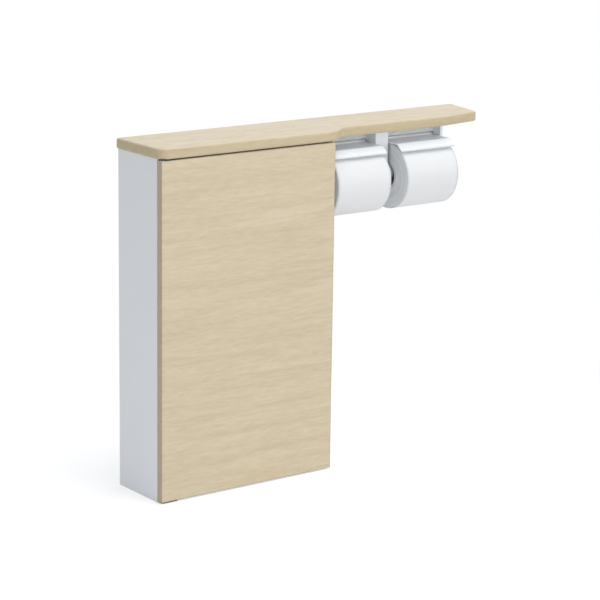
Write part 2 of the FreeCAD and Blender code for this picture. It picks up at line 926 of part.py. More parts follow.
def cover_solid(roll_left):
    x0 = roll_left - cover_past_roll
    x1 = roll_left + roll_width + cover_past_roll
    top = cover_under + cover_thickness
    tip_y = cover_crest_y - cover_lip_reach
    slope = math.atan2(cover_lip_fall, cover_lip_reach)
    thick_y = cover_thickness * math.sin(slope)
    thick_z = cover_thickness * math.cos(slope)
    turn_back = cover_thickness * math.tan(slope / 2)
    sheet = side_prism([
        (cover_hinge_y, top, 0),
        (cover_crest_y, top, cover_bend_round),
        (tip_y, top - cover_lip_fall, 0),
        (tip_y + thick_y, top - cover_lip_fall - thick_z, 0),
        (cover_crest_y + turn_back, cover_under, 0),
        (cover_hinge_y, cover_under, 0),
    ], x0, x1)
    barrel = rod(cover_hinge_radius, x1 - x0, V(x0, cover_hinge_y, cover_hinge_z), ALONG_X)
    bore = rod(cover_pin_radius + cover_pin_gap, x1 - x0 + overrun * 2,
               V(x0 - overrun, cover_hinge_y, cover_hinge_z), ALONG_X)
    notches = teeth(x0, x1, tip_y, cover_under - cover_lip_fall - overrun, top)
    return one_solid(sheet.fuse(barrel).cut(bore).cut(notches))


def teeth(x0, x1, tip_y, low, high):
    # Notches in the front edge that cut the paper, cut straight down.
    count = int((x1 - x0) / tooth_pitch)
    pitch = (x1 - x0) / count
    points = [V(x0, tip_y - overrun, low)]
    for number in range(count):
        notch_left = x0 + pitch * number
        points.append(V(notch_left, tip_y, low))
        points.append(V(notch_left + pitch / 2, tip_y + tooth_depth, low))
    points += [V(x1, tip_y, low), V(x1, tip_y - overrun, low), points[0]]
    return Part.Face(Part.makePolygon(points)).extrude(ALONG_Z * (high - low))


def cover_pin(start, end):
    x0 = start - cover_pin_in_arm + fit_gap
    x1 = end + cover_pin_in_arm - fit_gap
    return rod(cover_pin_radius, x1 - x0, V(x0, cover_hinge_y, cover_hinge_z), ALONG_X)


def build_parts():
    left_arm_face = holder_left + side_arm
    right_arm_face = holder_right - side_arm
    lower, middle, upper = shelf_pin_levels
    return {
        "side_panel_left": side_panel(True),
        "side_panel_right": side_panel(False),
        "bottom_panel": bottom_panel(),
        "top_panel": top_panel(),
        "back_panel": back_panel(),
        "hanging_rail_bottom": hanging_rail(rail_levels[0]),
        "hanging_rail_top": hanging_rail(rail_levels[1]),
        "shelf_lower": shelf(lower),
        "shelf_middle": shelf(middle),
        "shelf_upper": shelf(upper),
        "shelf_pins": shelf_pins(),
        "carcass_dowels": carcass_dowels(),
        "counter_board": counter_board(),
        "counter_edge_band": counter_edge_band(),
        "counter_screws": counter_screws(),
        "door_panel": door_panel(),
        "door_edge_band": door_edge_band(),
        "door_bumpers": door_bumpers(),
        "pivot_plate_top": pivot_plate_top(),
        "pivot_plate_bottom": pivot_plate_bottom(),
        "pivot_pins": pivot_pins(),
        "pivot_bush_top": pivot_bush(True),
        "pivot_bush_bottom": pivot_bush(False),
        "pivot_screws": pivot_screws(),
        "latch_housing": latch_housing(),
        "latch_plunger": latch_plunger(),
        "latch_magnet": latch_magnet(),
        "latch_spring": latch_spring(),
        "latch_screws": latch_screws(),
        "strike_plate": strike_plate(),
        "strike_screw": strike_screw(),
        "holder_base": holder_base(),
        "holder_arm_left": side_arm_solid(True),
        "holder_arm_center": center_arm_solid(),
        "holder_arm_right": side_arm_solid(False),
        "arm_screws": arm_screws(),
        "holder_counter_screws": holder_counter_screws(),
        "pad_ring_1": pad_ring(center_left, ALONG_X),
        "pad_ring_2": pad_ring(center_right, -ALONG_X),
        "roll_pad_1": roll_pad(center_left, -ALONG_X),
        "roll_pad_2": roll_pad(center_right, ALONG_X),
        "pad_spring_1": pad_spring(center_left, -ALONG_X),
        "pad_spring_2": pad_spring(center_right, ALONG_X),
        "cover_1": cover_solid(roll_1_left),
        "cover_2": cover_solid(roll_2_left),
        "cover_pin_1": cover_pin(left_arm_face, center_left),
        "cover_pin_2": cover_pin(center_right, right_arm_face),
        "paper_roll_1": paper_roll(roll_1_left),
        "paper_roll_2": paper_roll(roll_2_left),
        "roll_core_1": roll_core(roll_1_left),
        "roll_core_2": roll_core(roll_2_left),
    }


os.makedirs("parts", exist_ok=True)
for name, shape in build_parts().items():
    shape.exportStep("parts/" + name + ".step")
    print(name, len(shape.Solids), "solids", round(shape.Volume), shape.isValid())
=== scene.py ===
# %% [markdown]
# A slim floor cabinet for a toilet room: one tall flat door in pale printed wood, white side panels,
# and a counter that runs on to the right over a double paper holder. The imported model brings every
# hard piece at its real size, so this lesson dresses it: finishes for each material, two soft paper
# rolls and two small springs made anew, and a plain studio round it.

import math

import bmesh
import bpy
from mathutils import Euler, Matrix, Vector


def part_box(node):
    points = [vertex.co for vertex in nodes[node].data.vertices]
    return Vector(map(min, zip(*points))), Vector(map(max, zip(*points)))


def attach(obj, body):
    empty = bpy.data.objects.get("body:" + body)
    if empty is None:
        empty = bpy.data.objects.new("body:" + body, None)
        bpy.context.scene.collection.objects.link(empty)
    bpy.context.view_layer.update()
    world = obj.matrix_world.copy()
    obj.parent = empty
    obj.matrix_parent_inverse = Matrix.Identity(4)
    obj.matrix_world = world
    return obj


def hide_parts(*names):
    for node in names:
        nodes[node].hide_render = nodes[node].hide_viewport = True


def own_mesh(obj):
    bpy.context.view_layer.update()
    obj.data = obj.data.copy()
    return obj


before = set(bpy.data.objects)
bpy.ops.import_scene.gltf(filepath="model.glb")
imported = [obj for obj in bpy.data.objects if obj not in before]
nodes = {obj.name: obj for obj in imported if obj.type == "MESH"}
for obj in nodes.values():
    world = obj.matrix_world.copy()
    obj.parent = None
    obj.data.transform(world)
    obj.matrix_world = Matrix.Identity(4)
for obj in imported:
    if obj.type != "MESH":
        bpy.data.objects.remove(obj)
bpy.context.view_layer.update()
MM = 0.001


# %% [markdown]
# A colour is picked on a screen as an sRGB hex value, but the shader counts light in linear steps.
# One function turns the first into the second, so every colour below can stay readable.

# %% One function for colours
def linear(hex_value):
    channels = [int(hex_value[i:i + 2], 16) / 255 for i in (1, 3, 5)]
    return [c / 12.92 if c <= 0.04045 else ((c + 0.055) / 1.055) ** 2.4 for c in channels] + [1.0]


print("mid grey in linear light", [round(c, 3) for c in linear("#808080")])


# %% [markdown]
# A finish is a small tree of nodes. Adding a node always takes the same three steps: make it, set it
# and wire it, so one function does all three. A value that is itself a socket becomes a wire, and
# anything else is set on the input. Patterns are scaled from real millimetres by per_mm.

# %% One function for nodes, and one that starts a finish
def add_node(tree, kind, settings=None, inputs=None):
    node = tree.nodes.new(kind)
    for name, value in (settings or {}).items():
        setattr(node, name, value)
    for name, value in (inputs or {}).items():
        if isinstance(value, bpy.types.NodeSocket):
            tree.links.new(value, node.inputs[name])
        else:
            node.inputs[name].default_value = value
    return node


def per_mm(*lengths):
    # How often a pattern repeats in a metre when one repeat is that many millimetres long.
    return [1 / (length * MM) for length in lengths]


def start_finish(name):
    material = bpy.data.materials.new(name)
    material.use_nodes = True
    tree = material.node_tree
    shader = tree.nodes["Principled BSDF"]
    place = add_node(tree, "ShaderNodeTexCoord").outputs["Object"]
    return material, tree, shader, place


print("a 2 mm pattern repeats", per_mm(2)[0], "times in a metre")


# %% [markdown]
# The door and the counter are chipboard under printed wood-grain laminate: a paper photographed from
# pale straight-grained oak, pressed on under melamine resin. The print gives broad soft bands, short
# fibres and tiny pores, all drawn out along X, and the press leaves a faint relief and a satin sheen.
# Three noises, each stretched along the grain by its real length and width, make that print. A slow
# fourth noise bends the coordinates first, so that the grain wanders as it does in a real board. The
# side turned away, under the counter or inside the door, has a plain off-white sheet against bowing.

# %% Printed wood-grain laminate
def wood_grain_laminate(name, pale, deep, roughness):
    material, tree, shader, place = start_finish(name)
    slow = add_node(tree, "ShaderNodeMapping", inputs={"Vector": place, "Scale": per_mm(420, 150, 150)})
    wander = add_node(tree, "ShaderNodeTexNoise", inputs={"Vector": slow.outputs[0], "Scale": 1.0, "Detail": 2.0})
    centred = add_node(
        tree, "ShaderNodeVectorMath", {"operation": "SUBTRACT"},
        {0: wander.outputs["Color"], 1: (0.5, 0.5, 0.5)},
    )
    # The grain strays by up to some 7 mm across the board.
    shift = add_node(
        tree, "ShaderNodeVectorMath", {"operation": "MULTIPLY"},
        {0: centred.outputs[0], 1: (0, 14 * MM, 14 * MM)},
    )
    bent = add_node(tree, "ShaderNodeVectorMath", {"operation": "ADD"}, {0: place, 1: shift.outputs[0]})
    layers = []
    # Length and width of the bands, fibres and pores in millimetres, then how much detail each has.
    for long, wide, detail in ((220, 16, 4.0), (24, 4, 2.0), (14, 0.9, 2.0)):
        stretch = add_node(
            tree, "ShaderNodeMapping", inputs={"Vector": bent.outputs[0], "Scale": per_mm(long, wide, wide)}
        )
        layers.append(add_node(
            tree, "ShaderNodeTexNoise",
            inputs={"Vector": stretch.outputs[0], "Scale": 1.0, "Detail": detail, "Roughness": 0.55},
        ).outputs[0])
    bands, fibres, pores = layers
    both = add_node(tree, "ShaderNodeMix", inputs={0: 0.45, 2: bands, 3: fibres})
    tone = add_node(tree, "ShaderNodeMapRange", inputs={0: both.outputs[0], 1: 0.36, 2: 0.64})
    wood = add_node(
        tree, "ShaderNodeMix", {"data_type": "RGBA"},
        {0: tone.outputs[0], 6: linear(pale), 7: linear(deep)},
    )
    dash = add_node(tree, "ShaderNodeMapRange", inputs={0: pores, 1: 0.62, 2: 0.74, 3: 0.0, 4: 0.3})
    print_colour = add_node(
        tree, "ShaderNodeMix", {"data_type": "RGBA"},
        {0: dash.outputs[0], 6: wood.outputs[2], 7: linear("#A8906A")},
    )
    facing = add_node(tree, "ShaderNodeSeparateXYZ", inputs={0: place.node.outputs["Normal"]})
    down = add_node(tree, "ShaderNodeMath", {"operation": "LESS_THAN"}, {0: facing.outputs["Z"], 1: -0.99})
    back = add_node(tree, "ShaderNodeMath", {"operation": "GREATER_THAN"}, {0: facing.outputs["Y"], 1: 0.99})
    away = add_node(tree, "ShaderNodeMath", {"operation": "MAXIMUM"}, {0: down.outputs[0], 1: back.outputs[0]})
    colour = add_node(
        tree, "ShaderNodeMix", {"data_type": "RGBA"},
        {0: away.outputs[0], 6: print_colour.outputs[2], 7: linear("#E4E5E4")},
    )
    relief = add_node(
        tree, "ShaderNodeBump",
        inputs={"Height": both.outputs[0], "Strength": 0.25, "Distance": 0.12 * MM},
    )
    sheen = add_node(
        tree, "ShaderNodeMapRange",
        inputs={0: fibres, 1: 0.3, 2: 0.7, 3: roughness - 0.05, 4: roughness + 0.07},
    )
    tree.links.new(colour.outputs[2], shader.inputs["Base Color"])
    tree.links.new(sheen.outputs[0], shader.inputs["Roughness"])
    tree.links.new(relief.outputs[0], shader.inputs["Normal"])
    shader.inputs["IOR"].default_value = 1.5
    return material


grain_face = wood_grain_laminate("Printed_wood_grain_laminate", "#D3C5AA", "#C6B697", 0.36)
print("made", grain_face.name)


# %% [markdown]
# The edges are closed with a thin plastic band, printed to match but a touch yellower and duller,
# because it is pulled over the edge hot and then trimmed. The same recipe serves with other tones. The
# door's band is given darker, greyer tones than the counter's: painted shade for the door's edge.

# %% Printed edge band
grain_edge = wood_grain_laminate("Printed_edge_band", "#C7B798", "#BBAB89", 0.5)
# Darker, greyer tones for the door's band: painted shade for its left edge, which faces away from the light.
grain_door_edge_painted_shade = wood_grain_laminate("Printed_door_edge_band_painted_shade", "#BCAB97", "#B0A08A", 0.5)
print("made", grain_edge.name, "and", grain_door_edge_painted_shade.name)


# %% [markdown]
# Side panels, shelves and rails are white melamine board. The resin sheet is pressed between plates
# with a very fine pebble grain, which breaks up reflections into a soft satin. Real pebbles are about
# 0.3 mm wide and wouldn't show, so they are drawn 1.2 mm wide. A slow noise keeps the white from being
# dead even.

# %% White melamine board
def pressed_melamine(name, white, shade):
    material, tree, shader, place = start_finish(name)
    pebble_scale = add_node(tree, "ShaderNodeMapping", inputs={"Vector": place, "Scale": per_mm(1.2, 1.2, 1.2)})
    pebbles = add_node(
        tree, "ShaderNodeTexVoronoi", {"feature": "SMOOTH_F1"},
        {"Vector": pebble_scale.outputs[0], "Scale": 1.0, "Smoothness": 0.8},
    )
    slow = add_node(tree, "ShaderNodeMapping", inputs={"Vector": place, "Scale": per_mm(180, 180, 180)})
    cloud = add_node(tree, "ShaderNodeTexNoise", inputs={"Vector": slow.outputs[0], "Scale": 1.0, "Detail": 3.0})
    colour = add_node(
        tree, "ShaderNodeMix", {"data_type": "RGBA"},
        {0: cloud.outputs[0], 6: linear(white), 7: linear(shade)},
    )
    relief = add_node(
        tree, "ShaderNodeBump",
        inputs={"Height": pebbles.outputs["Distance"], "Strength": 0.2, "Distance": 0.05 * MM},
    )
    sheen = add_node(tree, "ShaderNodeMapRange", inputs={0: cloud.outputs[0], 3: 0.36, 4: 0.46})
    tree.links.new(colour.outputs[2], shader.inputs["Base Color"])
    tree.links.new(sheen.outputs[0], shader.inputs["Roughness"])
    tree.links.new(relief.outputs[0], shader.inputs["Normal"])
    shader.inputs["IOR"].default_value = 1.5
    return material


melamine = pressed_melamine("White_melamine_board", "#EAECEF", "#E4E6EA")
print("made", melamine.name)


# %% [markdown]
# The holder, its covers and the latch housing are injection-moulded ABS. The polished mould leaves a
# smooth, half-gloss white with a very slight waviness where the wall cooled, which a slow noise in the
# bump shows in its highlights. The pads, bushes and plunger are acetal, a slippery plastic that looks
# waxy: softer gloss, a greyer white and a little light let in under the skin.

# %% Moulded ABS and moulded acetal
def moulded_plastic(name, colour, shade, roughness, depth_of_light):
    material, tree, shader, place = start_finish(name)
    sink = add_node(tree, "ShaderNodeMapping", inputs={"Vector": place, "Scale": per_mm(30, 30, 30)})
    waves = add_node(tree, "ShaderNodeTexNoise", inputs={"Vector": sink.outputs[0], "Scale": 1.0, "Detail": 1.0})
    grit = add_node(tree, "ShaderNodeMapping", inputs={"Vector": place, "Scale": per_mm(0.8, 0.8, 0.8)})
    spark = add_node(tree, "ShaderNodeTexNoise", inputs={"Vector": grit.outputs[0], "Scale": 1.0, "Detail": 2.0})
    height = add_node(tree, "ShaderNodeMix", inputs={0: 0.06, 2: waves.outputs[0], 3: spark.outputs[0]})
    tone = add_node(
        tree, "ShaderNodeMix", {"data_type": "RGBA"},
        {0: waves.outputs[0], 6: linear(colour), 7: linear(shade)},
    )
    relief = add_node(
        tree, "ShaderNodeBump", inputs={"Height": height.outputs[0], "Strength": 0.3, "Distance": 0.3 * MM}
    )
    sheen = add_node(
        tree, "ShaderNodeMapRange",
        inputs={0: spark.outputs[0], 1: 0.3, 2: 0.7, 3: roughness - 0.03, 4: roughness + 0.04},
    )
    tree.links.new(tone.outputs[2], shader.inputs["Base Color"])
    tree.links.new(sheen.outputs[0], shader.inputs["Roughness"])
    tree.links.new(relief.outputs[0], shader.inputs["Normal"])
    shader.inputs["IOR"].default_value = 1.53
    shader.inputs["Subsurface Weight"].default_value = depth_of_light
    shader.inputs["Subsurface Radius"].default_value = (1.0, 1.0, 1.0)
    shader.inputs["Subsurface Scale"].default_value = 0.8 * MM
    return material


abs_white = moulded_plastic("White_moulded_ABS", "#ECEEEF", "#E6E9EB", 0.3, 0.0)
acetal_grey = moulded_plastic("Moulded_acetal", "#D8DADB", "#CDD0D2", 0.42, 0.25)
print("made", abs_white.name, "and", acetal_grey.name)


# %% [markdown]
# Screws, plates and pins are mild steel with bright zinc plating. Zinc dries in pale patches from blue
# to straw, and tumbling in the bath leaves fine scratches. The springs are drawn from steel wire, so
# theirs run along the wire and stay sharp. The magnet is nickel plated, warmer and smoother than zinc.
# The hinge plates show in the narrow gap over the door, which lies in shade, so they and their screws
# are made near black: painted shade for the gap.

# %% Plated and drawn metals
def plated_metal(name, cool, warm, roughness, patch, scratch):
    material, tree, shader, place = start_finish(name)
    patch_scale = add_node(tree, "ShaderNodeMapping", inputs={"Vector": place, "Scale": per_mm(patch, patch, patch)})
    patches = add_node(tree, "ShaderNodeTexNoise", inputs={"Vector": patch_scale.outputs[0], "Scale": 1.0, "Detail": 3.0})
    fine = add_node(
        tree, "ShaderNodeMapping",
        inputs={"Vector": place, "Scale": per_mm(scratch * 12, scratch, scratch), "Rotation": (0.4, 0.3, 0.7)},
    )
    scratches = add_node(tree, "ShaderNodeTexNoise", inputs={"Vector": fine.outputs[0], "Scale": 1.0, "Detail": 4.0})
    tone = add_node(
        tree, "ShaderNodeMix", {"data_type": "RGBA"},
        {0: patches.outputs[0], 6: linear(cool), 7: linear(warm)},
    )
    sheen = add_node(
        tree, "ShaderNodeMapRange",
        inputs={0: scratches.outputs[0], 1: 0.3, 2: 0.7, 3: roughness - 0.06, 4: roughness + 0.1},
    )
    relief = add_node(
        tree, "ShaderNodeBump", inputs={"Height": scratches.outputs[0], "Strength": 0.15, "Distance": 0.02 * MM}
    )
    tree.links.new(tone.outputs[2], shader.inputs["Base Color"])
    tree.links.new(sheen.outputs[0], shader.inputs["Roughness"])
    tree.links.new(relief.outputs[0], shader.inputs["Normal"])
    shader.inputs["Metallic"].default_value = 1.0
    return material


zinc = plated_metal("Zinc_plated_steel", "#C3CAD2", "#D2CFC0", 0.3, 6, 0.5)
# Near black for the hinge plates and their screws: painted shade for the gap over the door.
gap_shade_black_steel = plated_metal("Gap_shade_black_steel", "#3A3C40", "#46433E", 0.42, 6, 0.5)
spring_wire = plated_metal("Drawn_spring_steel", "#9EA2A6", "#A9A7A2", 0.24, 3, 0.3)
nickel = plated_metal("Nickel_plated_magnet", "#C9C4BA", "#D0CDC8", 0.2, 5, 0.4)
print("made", zinc.name, gap_shade_black_steel.name, spring_wire.name, nickel.name)


# %% [markdown]
# The dowels are turned beech: short pale-brown fibres with tiny darker flecks, dull because the wood
# isn't lacquered. The dots that quieten the door are cast clear polyurethane, soft and glassy.

# %% Turned beech and cast polyurethane
def turned_beech(name):
    material, tree, shader, place = start_finish(name)
    along = add_node(tree, "ShaderNodeMapping", inputs={"Vector": place, "Scale": per_mm(14, 0.7, 0.7)})
    fibres = add_node(tree, "ShaderNodeTexNoise", inputs={"Vector": along.outputs[0], "Scale": 1.0, "Detail": 4.0})
    tone = add_node(
        tree, "ShaderNodeMix", {"data_type": "RGBA"},
        {0: fibres.outputs[0], 6: linear("#DDB98C"), 7: linear("#BC915F")},
    )
    relief = add_node(
        tree, "ShaderNodeBump", inputs={"Height": fibres.outputs[0], "Strength": 0.4, "Distance": 0.1 * MM}
    )
    tree.links.new(tone.outputs[2], shader.inputs["Base Color"])
    tree.links.new(relief.outputs[0], shader.inputs["Normal"])
    shader.inputs["Roughness"].default_value = 0.7
    return material


def cast_polyurethane(name):
    material, tree, shader, place = start_finish(name)
    ripple = add_node(tree, "ShaderNodeMapping", inputs={"Vector": place, "Scale": per_mm(2, 2, 2)})
    skin = add_node(tree, "ShaderNodeTexNoise", inputs={"Vector": ripple.outputs[0], "Scale": 1.0, "Detail": 2.0})
    relief = add_node(
        tree, "ShaderNodeBump", inputs={"Height": skin.outputs[0], "Strength": 0.2, "Distance": 0.05 * MM}
    )
    tree.links.new(relief.outputs[0], shader.inputs["Normal"])
    shader.inputs["Base Color"].default_value = linear("#F2F4F4")
    shader.inputs["Roughness"].default_value = 0.18
    shader.inputs["IOR"].default_value = 1.5
    shader.inputs["Transmission Weight"].default_value = 0.8
    return material


beech = turned_beech("Turned_beech")
polyurethane = cast_polyurethane("Clear_cast_polyurethane")
print("made", beech.name, "and", polyurethane.name)


# %% [markdown]
# A finish is worn by many pieces, so a list per finish says which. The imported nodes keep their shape
# and only get the finish in their material slot.

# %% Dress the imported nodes
worn_by = {
    grain_face: ["door_panel", "counter_board"],
    grain_edge: ["counter_edge_band"],
    grain_door_edge_painted_shade: ["door_edge_band"],
    melamine: [
        "side_panel_left", "side_panel_right", "bottom_panel", "top_panel", "back_panel",
        "hanging_rail_bottom", "hanging_rail_top", "shelf_lower", "shelf_middle", "shelf_upper",
    ],
    abs_white: [
        "holder_base", "holder_arm_left", "holder_arm_center", "holder_arm_right",
        "pad_ring_1", "pad_ring_2", "cover_1", "cover_2", "latch_housing",
    ],
    acetal_grey: ["pivot_bush_top", "pivot_bush_bottom", "latch_plunger", "roll_pad_1", "roll_pad_2"],
    zinc: [
        "shelf_pins", "counter_screws", "pivot_pins", "latch_screws", "strike_plate",
        "strike_screw", "arm_screws", "holder_counter_screws", "cover_pin_1", "cover_pin_2",
    ],
    gap_shade_black_steel: ["pivot_plate_top", "pivot_plate_bottom", "pivot_screws"],
    spring_wire: ["latch_spring"],
    nickel: ["latch_magnet"],
    beech: ["carcass_dowels"],
    polyurethane: ["door_bumpers"],
}
for finish, names in worn_by.items():
    for name in names:
        for slot in nodes[name].material_slots:
            slot.material = finish
print("dressed", sum(len(names) for names in worn_by.values()), "nodes in", len(worn_by), "finishes")


# %% [markdown]
# Real edges are never knife sharp: a saw, a mould or a trimming blade leaves a tiny round that catches
# the light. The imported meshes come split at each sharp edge, so a weld joins them first and a bevel
# then rounds what is sharper than 40 degrees. Both are modifiers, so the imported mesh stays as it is.

# %% Ease the sharp edges
def ease_edges(name, width_mm):
    piece = nodes[name]
    weld = piece.modifiers.new("join_split_edges", "WELD")
    weld.merge_threshold = 0.002 * MM
    bevel = piece.modifiers.new("eased_edges", "BEVEL")
    bevel.width = width_mm * MM
    bevel.segments = 2
    bevel.limit_method = "ANGLE"
    bevel.angle_limit = math.radians(40)
    bevel.harden_normals = True


eased = {
    "door_edge_band": 0.5, "door_panel": 0.2, "side_panel_left": 0.4, "side_panel_right": 0.4,
    "shelf_lower": 0.4, "shelf_middle": 0.4, "shelf_upper": 0.4, "bottom_panel": 0.3,
    "cover_1": 0.5, "cover_2": 0.5, "strike_plate": 0.2,
}
for name, width_mm in eased.items():
    ease_edges(name, width_mm)
print("eased", len(eased), "pieces")


# %% [markdown]
# A toilet roll is a long strip of soft tissue wound on a card tube. Seen close it isn't a cylinder:
# the surface follows a spiral, so one turn ends in a small step, the ends show hundreds of layers that
# never line up quite, and the winding is a little out of round. All that is worked out ring by ring
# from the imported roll's box, staying just inside it. The free end lies at the back, where it doesn't show.

# %% Shape of a wound paper roll
def ring_mesh(name, rings, sides, close_ends):
    # Skins a list of rings of points. The last ring joins the first where they close up, or else the
    # two open ends are capped.
    mesh = bmesh.new()
    rows = [[mesh.verts.new(point) for point in ring] for ring in rings]
    pairs = list(zip(rows, rows[1:])) + ([(rows[-1], rows[0])] if close_ends else [])
    for row, following in pairs:
        for k in range(sides):
            after = (k + 1) % sides
            mesh.faces.new((row[k], row[after], following[after], following[k]))
    if not close_ends:
        for row in (rows[0], rows[-1]):
            mesh.faces.new(row)
    bmesh.ops.recalc_face_normals(mesh, faces=mesh.faces)
    data = bpy.data.meshes.new(name)
    mesh.to_mesh(data)
    mesh.free()
    for face in data.polygons:
        face.use_smooth = True
    piece = bpy.data.objects.new(name, data)
    bpy.context.scene.collection.objects.link(piece)
    return piece


SIDES = 180
SHEET_STEP = 0.35 * MM
LAYER_PITCH = 1.1 * MM
LAYER_RELIEF = 0.12 * MM


def wound_radius(radius, angle):
    # One turn grows by a sheet's thickness, and the winding is a little out of round.
    turn = (angle - math.radians(-60)) / math.tau % 1
    oval = 0.12 * MM * (1 - math.cos(2 * angle + 0.6))
    return radius - SHEET_STEP * (1 - turn) - oval


def paper_roll(name, node):
    low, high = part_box(node)
    centre = (low + high) / 2
    radius = (high.z - low.z) / 2
    half = (high.x - low.x) / 2
    bore = 20.1 * MM
    corner = 1.6 * MM
    layers = round((radius - corner - bore) / (LAYER_PITCH / 2))
    profile = []
    for k in range(layers + 1):
        share = k / layers
        relief = LAYER_RELIEF * (1 + math.cos(math.pi * k)) / 2 + 0.15 * MM * math.sin(5 * share) ** 2
        profile.append((-half + relief, bore + (radius - corner - bore) * share))
    for k in range(1, 5):
        lean = math.pi / 2 * k / 4
        profile.append((-half + corner * (1 - math.sin(lean)), radius - corner * math.cos(lean)))
    across = 24
    for k in range(1, across):
        profile.append((-half + corner + (half - corner) * k / (across / 2), radius))
    rings = []
    for x, r in profile + [(-x, r) for x, r in reversed(profile[:layers + 5])]:
        ring = []
        for k in range(SIDES):
            angle = math.tau * k / SIDES
            outer = wound_radius(radius, angle) - radius
            share = (r - bore) / (radius - bore)
            reach = r + outer * share
            ring.append((x, reach * math.cos(angle), reach * math.sin(angle)))
        rings.append(ring)
    roll = ring_mesh(name, rings, SIDES, True)
    roll.location = centre
    return roll


rolls = [paper_roll(f"tissue_roll_{k}", f"paper_roll_{k}") for k in (1, 2)]
print("wound", len(rolls), "rolls of", len(rolls[0].data.vertices), "points")


# %% [markdown]
# Tissue is creped and embossed paper: very white, with no gloss, soft enough that light seeps in. The
# mill presses a grid of small dots into it. On the wound face the pattern must follow the curve, so it
# is laid out by angle and length. On the flat ends the layers show as fine rings, laid out by radius.
# Real layers are about 0.2 mm apart and wouldn't show, so the rings are drawn 1 mm apart.

# %% Embossed tissue
def embossed_tissue(name, radius, half_width):
    material, tree, shader, place = start_finish(name)
    split = add_node(tree, "ShaderNodeSeparateXYZ", inputs={0: place})
    angle = add_node(
        tree, "ShaderNodeMath", {"operation": "ARCTAN2"}, {0: split.outputs["Z"], 1: split.outputs["Y"]}
    )
    arc = add_node(tree, "ShaderNodeMath", {"operation": "MULTIPLY"}, {0: angle.outputs[0], 1: radius})
    unrolled = add_node(tree, "ShaderNodeCombineXYZ", inputs={"X": split.outputs["X"], "Y": arc.outputs[0]})
    dot_scale = add_node(
        tree, "ShaderNodeMapping",
        inputs={"Vector": unrolled.outputs[0], "Scale": per_mm(3.2, 3.2, 3.2), "Rotation": (0, 0, math.radians(45))},
    )
    dots = add_node(
        tree, "ShaderNodeTexVoronoi", {"voronoi_dimensions": "2D"},
        {"Vector": dot_scale.outputs[0], "Scale": 1.0, "Randomness": 0.05},
    )
    dimple = add_node(tree, "ShaderNodeMapRange", {"interpolation_type": "SMOOTHSTEP"}, {
        0: dots.outputs["Distance"], 1: 0.12, 2: 0.42,
    })
    crepe_scale = add_node(
        tree, "ShaderNodeMapping", inputs={"Vector": unrolled.outputs[0], "Scale": per_mm(5, 0.5, 1)}
    )
    crepe = add_node(
        tree, "ShaderNodeTexNoise", inputs={"Vector": crepe_scale.outputs[0], "Scale": 1.0, "Detail": 3.0}
    )
    wound_height = add_node(
        tree, "ShaderNodeMix", inputs={0: 0.35, 2: dimple.outputs[0], 3: crepe.outputs[0]}
    )
    flat = add_node(tree, "ShaderNodeCombineXYZ", inputs={"Y": split.outputs["Y"], "Z": split.outputs["Z"]})
    reach = add_node(tree, "ShaderNodeVectorMath", {"operation": "LENGTH"}, {0: flat.outputs[0]})
    wobble_scale = add_node(tree, "ShaderNodeMapping", inputs={"Vector": place, "Scale": per_mm(14, 14, 14)})
    wobble = add_node(
        tree, "ShaderNodeTexNoise", inputs={"Vector": wobble_scale.outputs[0], "Scale": 1.0, "Detail": 2.0}
    )
    layer_turn = add_node(
        tree, "ShaderNodeMath", {"operation": "MULTIPLY_ADD"},
        {0: reach.outputs["Value"], 1: math.tau / MM, 2: wobble.outputs[0]},
    )
    rings = add_node(tree, "ShaderNodeMath", {"operation": "SINE"}, {0: layer_turn.outputs[0]})
    from_end = add_node(tree, "ShaderNodeMath", {"operation": "ABSOLUTE"}, {0: split.outputs["X"]})
    at_end = add_node(
        tree, "ShaderNodeMapRange",
        inputs={0: from_end.outputs[0], 1: half_width - 1.5 * MM, 2: half_width - 0.6 * MM},
    )
    height = add_node(
        tree, "ShaderNodeMix", inputs={0: at_end.outputs[0], 2: wound_height.outputs[0], 3: rings.outputs[0]}
    )
    relief = add_node(
        tree, "ShaderNodeBump", inputs={"Height": height.outputs[0], "Strength": 0.35, "Distance": 0.15 * MM}
    )
    # Tighter and looser winding shows as broader rings, some 5 mm apart.
    tightness = add_node(
        tree, "ShaderNodeTexNoise", {"noise_dimensions": "1D"},
        {"W": reach.outputs["Value"], "Scale": per_mm(5)[0], "Detail": 2.0},
    )
    packed = add_node(
        tree, "ShaderNodeMath", {"operation": "MULTIPLY_ADD"},
        {0: rings.outputs[0], 1: 0.12, 2: tightness.outputs[0]},
    )
    end_tone = add_node(tree, "ShaderNodeMapRange", inputs={0: packed.outputs[0], 1: 0.3, 2: 0.7})
    end_colour = add_node(
        tree, "ShaderNodeMix", {"data_type": "RGBA"},
        {0: end_tone.outputs[0], 6: linear("#ECEDEE"), 7: linear("#D2D5D8")},
    )
    # The pressed dots are a touch darker than the paper round them: painted shade in the dimples.
    dimple_shaded_colour = add_node(
        tree, "ShaderNodeMix", {"data_type": "RGBA"},
        {0: dimple.outputs[0], 6: linear("#DCDDDE"), 7: linear("#E3E4E5")},
    )
    colour = add_node(
        tree, "ShaderNodeMix", {"data_type": "RGBA"},
        {0: at_end.outputs[0], 6: dimple_shaded_colour.outputs[2], 7: end_colour.outputs[2]},
    )
    tree.links.new(colour.outputs[2], shader.inputs["Base Color"])
    tree.links.new(relief.outputs[0], shader.inputs["Normal"])
    shader.inputs["Roughness"].default_value = 0.95
    shader.inputs["Specular IOR Level"].default_value = 0.2
    shader.inputs["Sheen Weight"].default_value = 0.15
    shader.inputs["Sheen Roughness"].default_value = 0.6
    shader.inputs["Subsurface Weight"].default_value = 0.3
    shader.inputs["Subsurface Radius"].default_value = (1.0, 1.0, 1.0)
    shader.inputs["Subsurface Scale"].default_value = 2 * MM
    return material


